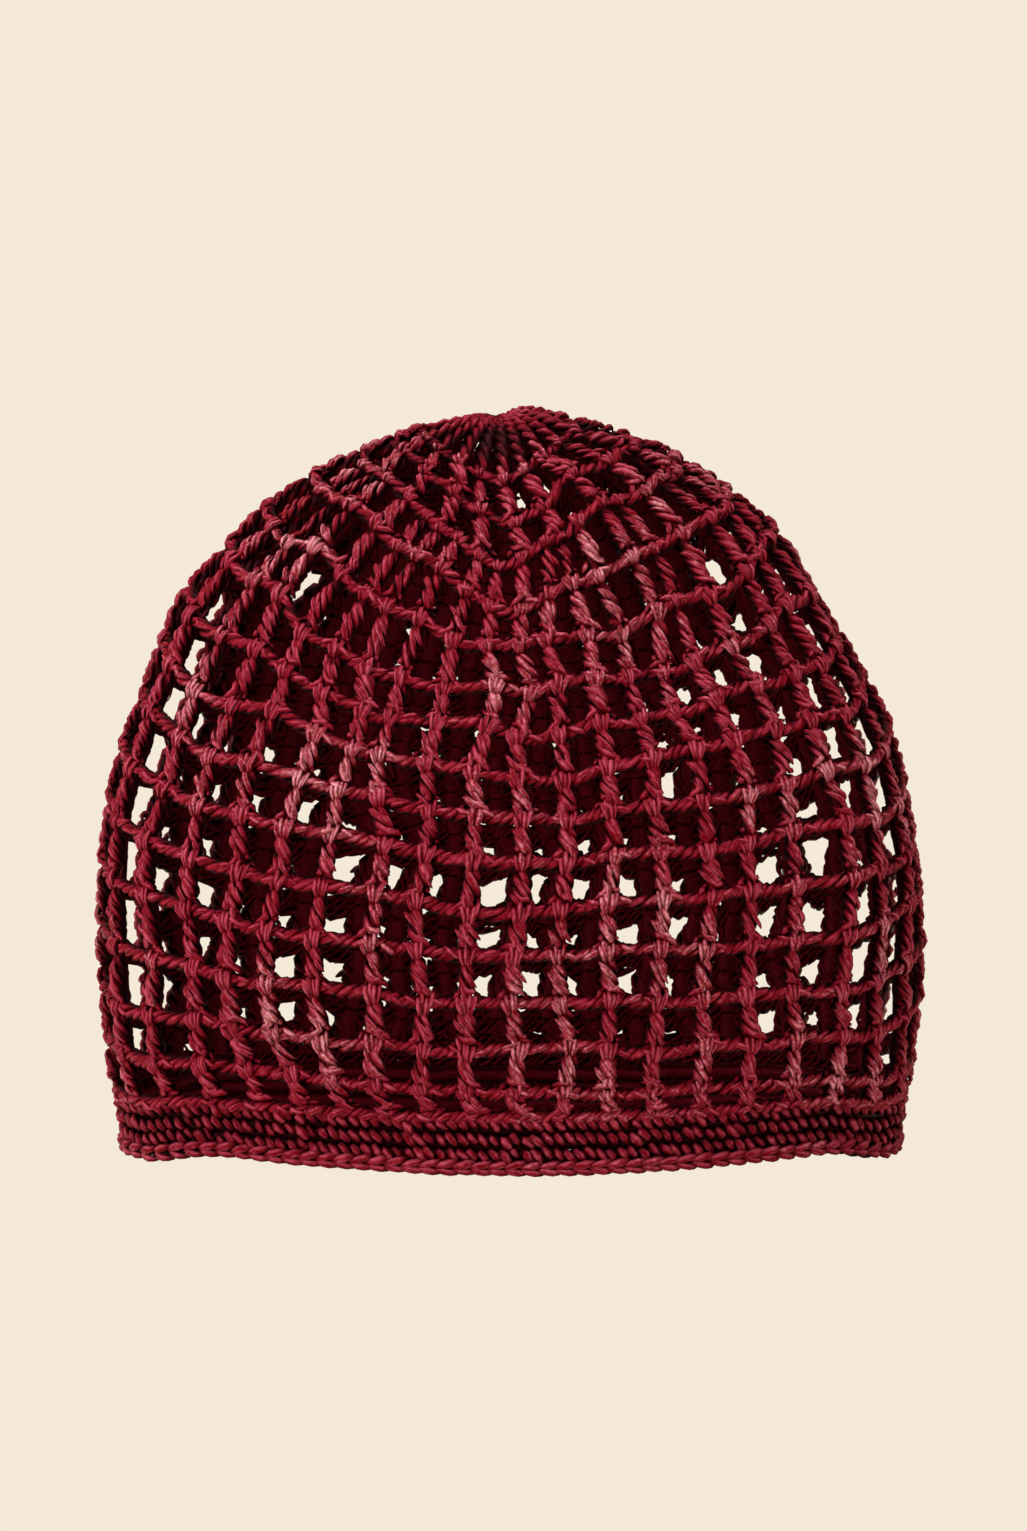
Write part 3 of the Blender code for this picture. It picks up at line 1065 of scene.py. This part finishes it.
class Flow:
    """A value, colour or vector on its way through a material's nodes."""

    def __init__(self, tree, socket=None):
        self.tree = tree
        self.socket = socket

    def make(self, kind, settings=None, inputs=None, output=0):
        """Add a node: its settings first, then the values or links of its sockets."""
        node = self.tree.nodes.new(kind)
        for name, value in (settings or {}).items():
            setattr(node, name, value)
        for name, value in (inputs or {}).items():
            if isinstance(value, Flow):
                self.tree.links.new(value.socket, node.inputs[name])
            else:
                node.inputs[name].default_value = value
        return Flow(self.tree, node.outputs[output] if node.outputs else None)

    def arithmetic(self, operation, first, second=0.0):
        """One step of arithmetic, on two values or on the first alone."""
        return self.make("ShaderNodeMath", {"operation": operation}, {0: first, 1: second})

    def __add__(self, other):
        return self.arithmetic("ADD", self, other)

    __radd__ = __add__

    def __mul__(self, other):
        return self.arithmetic("MULTIPLY", self, other)

    __rmul__ = __mul__

    def sine(self):
        return self.arithmetic("SINE", self)

    def size(self):
        return self.arithmetic("ABSOLUTE", self)

    def mixed(self, first, second):
        """Two colours mixed by this value."""
        return self.make(
            "ShaderNodeMix",
            {"data_type": "RGBA", "clamp_factor": True},
            {0: self, 6: first, 7: second},
            output=2,
        )

    def cloud(self, scale, detail):
        """Noise over this place."""
        inputs = {"Vector": self, "Scale": scale, "Detail": detail}
        return self.make("ShaderNodeTexNoise", None, inputs)

    def spread(self, low, high, bottom=0.0, top=1.0, kind="LINEAR"):
        """This value from low to high as one from bottom to top, held at both ends."""
        inputs = {"Value": self, "From Min": low, "From Max": high, "To Min": bottom, "To Max": top}
        return self.make("ShaderNodeMapRange", {"interpolation_type": kind}, inputs)


def new_material(name):
    """An empty material and a flow that makes its nodes."""
    material = bpy.data.materials.new(name)
    material.use_nodes = True
    material.node_tree.nodes.clear()
    return material, Flow(material.node_tree)


# Painted shade: the near black that grooves, flanks and inner faces are darkened towards
PAINTED_SHADE_BLACK = (0.0060, 0.0001, 0.0003, 1.0)
DEEP_RED = (0.120, 0.0004, 0.0048, 1.0)
WINE_RED = (0.205, 0.0022, 0.0140, 1.0)
# Painted highlight: the rose laid on the crests of the strands
PAINTED_HIGHLIGHT_ROSE = (0.430, 0.0900, 0.1380, 1.0)
# Paler worn stretches, laid only on the crests, so partly painted highlight
WORN_AND_HIGHLIGHT_ROSE = (0.800, 0.3900, 0.4400, 1.0)

# Painted shade left on flanks and inner faces, share of the crown's height under which grooves get
# full painted shade, heights in mm over which the crests get painted highlight, and the noise that
# dye and the paler worn, partly highlighted stretches follow
FLANK_SHADE = 0.08
INNER_SHADE = 0.34
CROWN_START = 0.18
CREST_HEIGHTS = (1.3, 3.2)
DYE_RANGE = (0.30, 0.72)
WEAR_REACH = 0.14


def yarn_material(name, filaments, worn, crown):
    """Matt cotton yarn: filaments along each strand, uneven dye, painted shade in grooves, on flanks
    and on inner faces, and on the crests a painted highlight and paler worn stretches.
    """
    material, flow = new_material(name)
    spot = flow.make("ShaderNodeTexCoord", output="Object")
    wrap = flow.make("ShaderNodeUVMap", {"uv_map": "UVMap"})
    around = flow.make("ShaderNodeSeparateXYZ", None, {0: wrap}, output=1)
    fine = spot.cloud(1100.0, 1.0)
    drift = spot.cloud(330.0, 1.0)
    patch = spot.cloud(420.0, 2.0)
    broad = spot.cloud(34.0, 2.0)
    lines = (around * (2 * math.pi * filaments) + drift * 7.0).sine() * 0.5 + 0.5
    relief = flow.make("ShaderNodeAttribute", {"attribute_name": "relief"}, output="Fac")
    facing = flow.make("ShaderNodeAttribute", {"attribute_name": "facing"}, output="Fac")
    # Painted shade: grooves low in the relief, flanks and faces turned inward are darkened
    depth = relief.size().spread(crown * CROWN_START, crown, kind="SMOOTHSTEP")
    painted_flank_shade = facing.size().spread(-0.35, 0.85, FLANK_SHADE, 1.0, "SMOOTHSTEP")
    painted_inner_shade = facing.spread(-0.5, 0.1, INNER_SHADE, 1.0)
    # Painted highlight: the crests that stand out most in the relief
    crest_highlight = relief.spread(*CREST_HEIGHTS)
    dye = (patch * 0.7 + lines * 0.3).spread(*DYE_RANGE)
    # Worn stretches, which are shown only on the crests and so also serve as painted highlight
    wear_and_highlight = (broad * 0.7 + fine * 0.3).spread(worn, worn + WEAR_REACH)
    base = dye.mixed(DEEP_RED, WINE_RED)
    # Painted highlight: rose on the crests, along the filaments
    base = (dye * (0.4 + 0.6 * lines) * crest_highlight * 0.62).mixed(base, PAINTED_HIGHLIGHT_ROSE)
    # Paler worn stretches on the crests: real wear and painted highlight
    base = (wear_and_highlight * (0.12 + 0.55 * lines) * crest_highlight).mixed(base, WORN_AND_HIGHLIGHT_ROSE)
    # Painted shade laid over all: near black in grooves, on flanks and on inner faces
    base = (depth * painted_flank_shade * painted_inner_shade).mixed(PAINTED_SHADE_BLACK, base)
    lumps = flow.make(
        "ShaderNodeBump", None, {"Strength": 0.55, "Distance": 0.0010, "Height": patch}
    )
    height = lines * 0.65 + fine * 0.35
    bump = flow.make(
        "ShaderNodeBump",
        None,
        {"Strength": 0.75, "Distance": 0.00022, "Height": height, "Normal": lumps},
    )
    shader = flow.make(
        "ShaderNodeBsdfPrincipled",
        None,
        {
            "Base Color": base,
            "Roughness": 0.42 + 0.25 * fine,
            "Normal": bump,
            "Specular IOR Level": 0.14,
            "Specular Tint": (1.0, 0.22, 0.30, 1.0),
        },
    )
    flow.make("ShaderNodeOutputMaterial", None, {"Surface": shader})
    return material


def stage_material():
    """Even cream for the camera, and a plain diffuse cloth for every other ray."""
    material, flow = new_material("cream_sweep")
    seen = flow.make("ShaderNodeLightPath", output="Is Camera Ray")
    glow = flow.make("ShaderNodeEmission", None, {"Color": CREAM, "Strength": 1.0})
    cloth = flow.make("ShaderNodeBsdfDiffuse", None, {"Color": (0.80, 0.72, 0.60, 1.0)})
    both = flow.make("ShaderNodeMixShader", None, {0: seen, 1: cloth, 2: glow})
    flow.make("ShaderNodeOutputMaterial", None, {"Surface": both})
    return material


# Stage, lights and camera


CREAM = (0.905, 0.815, 0.680, 1.0)
WORLD_STRENGTH = 0.25
SWEEP_FLOOR = 2.5
SWEEP_BEND = 2.0
SWEEP_WALL = 4.0
SWEEP_STEPS = 12
SWEEP_SIDES = 96

# Lights, all aimed at one point: name, place, size, power and colour
LIGHT_AIM = (0.0, 0.0, 0.10)
LIGHTS = (
    ("key", (-1.00, -1.25, 1.15), 0.6, 24.8, (1.0, 0.97, 0.95)),
    ("fill", (1.1, -1.3, 0.45), 0.9, 3.8, (1.0, 0.97, 0.97)),
    ("left", (-1.5, -0.35, 0.70), 0.7, 16.0, (1.0, 0.97, 0.97)),
    ("right", (1.5, -0.35, 0.60), 0.7, 7.5, (1.0, 0.97, 0.97)),
    ("top", (-0.05, -0.15, 1.5), 0.7, 16.0, (1.0, 0.98, 0.97)),
)


def build_stage():
    """A cream floor that bends up into a wall all round."""
    outline = [(0.0, 0.0), (SWEEP_FLOOR, 0.0)]
    for step in range(1, SWEEP_STEPS + 1):
        angle = math.pi / 2 * step / SWEEP_STEPS
        outline.append(
            (SWEEP_FLOOR + SWEEP_BEND * math.sin(angle), SWEEP_BEND * (1 - math.cos(angle)))
        )
    outline.append((SWEEP_FLOOR + SWEEP_BEND, SWEEP_BEND + SWEEP_WALL))
    shape = bmesh.new()
    verts = [shape.verts.new((radius, 0.0, height)) for radius, height in outline]
    edges = [shape.edges.new(pair) for pair in zip(verts, verts[1:])]
    bmesh.ops.spin(
        shape,
        geom=verts + edges,
        cent=(0, 0, 0),
        axis=(0, 0, 1),
        angle=2 * math.pi,
        steps=SWEEP_SIDES,
        use_merge=True,
    )
    bmesh.ops.remove_doubles(shape, verts=shape.verts, dist=0.0001)
    bmesh.ops.recalc_face_normals(shape, faces=shape.faces)
    mesh = bpy.data.meshes.new("sweep")
    shape.to_mesh(mesh)
    shape.free()
    mesh.shade_smooth()
    mesh.materials.append(stage_material())
    sweep = bpy.data.objects.new("sweep", mesh)
    bpy.context.scene.collection.objects.link(sweep)
    sweep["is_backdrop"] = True


def add_light(name, place, size, power, colour):
    """A square area light that the camera can't see."""
    light = bpy.data.lights.new(name, "AREA")
    light.shape = "SQUARE"
    light.size = size
    light.energy = power
    light.color = colour
    lamp = bpy.data.objects.new(name, light)
    lamp.location = place
    lamp.rotation_euler = (Vector(LIGHT_AIM) - Vector(place)).to_track_quat("-Z", "Y").to_euler()
    lamp.visible_camera = False
    bpy.context.scene.collection.objects.link(lamp)


def build_lights():
    """The lights and an even cream world."""
    for light in LIGHTS:
        add_light(*light)
    world = bpy.data.worlds.new("studio")
    world.use_nodes = True
    background = world.node_tree.nodes["Background"]
    background.inputs["Color"].default_value = CREAM
    background.inputs["Strength"].default_value = WORLD_STRENGTH
    bpy.context.scene.world = world


def build_camera():
    """The photo's view, from the front and a little above."""
    data = bpy.data.cameras.new("camera")
    data.sensor_width = SENSOR * 1000
    data.lens = 1000 * SENSOR * PIXELS_PER_METRE * CAMERA_DISTANCE / PHOTO_HEIGHT
    data.clip_start = 0.05
    data.clip_end = 30.0
    camera = bpy.data.objects.new("camera", data)
    back = Vector((0.0, -math.cos(CAMERA_RISE), math.sin(CAMERA_RISE)))
    camera.location = Vector(CAMERA_AIM) + back * CAMERA_DISTANCE
    camera.rotation_euler = (-back).to_track_quat("-Z", "Y").to_euler()
    bpy.context.scene.collection.objects.link(camera)
    bpy.context.scene.camera = camera


# Assembly


def settle(piece, slot, *nodes):
    """A piece's body, and the nodes that it stands in for, which are hidden; its material slot is not
    used.
    """
    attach(piece, "root")
    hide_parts(*nodes)


bpy.context.scene.view_settings.view_transform = "Standard"
build_camera()
build_lights()
build_stage()

# The last value is the relief in mm up to which grooves get painted shade, deeper on the band
net_cotton = yarn_material("net_cotton", 3, 0.52, 2.0)
band_cotton = yarn_material("band_cotton", 3, 0.58, 3.0)

NET_NODES = ("lower_net", "middle_net", "upper_net")
POST_GROUPS = (
    ("posts_low", 0, 4),
    ("posts_middle", 4, 8),
    ("posts_high", 8, 12),
    ("posts_top", 12, LAST_BAR),
)
BAR_GROUPS = (("bars_low", 0, 8), ("bars_high", 8, LAST_BAR + 1))
for name, first, last in POST_GROUPS:
    strands = []
    for level in range(first, last):
        strands += posts_of_round(level)
    settle(make_yarn(name, strands, net_cotton), "net_yarn", *NET_NODES)

for name, first, last in BAR_GROUPS:
    strands = []
    for level in range(first, last):
        strands += bar(level)
    settle(make_yarn(name, strands, net_cotton), "net_yarn", *NET_NODES)

for number in range(BAND_ROUNDS):
    name = f"band_round_{number + 1}"
    settle(make_yarn(name, band_round(number), band_cotton), "band_yarn", "headband")

settle(make_yarn("rim_chain", rim_chain(), band_cotton), "band_yarn", "edging")
settle(make_yarn("crown_eye", crown_eye(), net_cotton), "net_yarn", "crown_gather")

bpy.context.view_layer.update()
total = 0
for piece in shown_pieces():
    piece.data.calc_loop_triangles()
    total += len(piece.data.loop_triangles)
    print("TRIANGLES", piece.name, len(piece.data.loop_triangles))
print("TRIANGLES all", total)
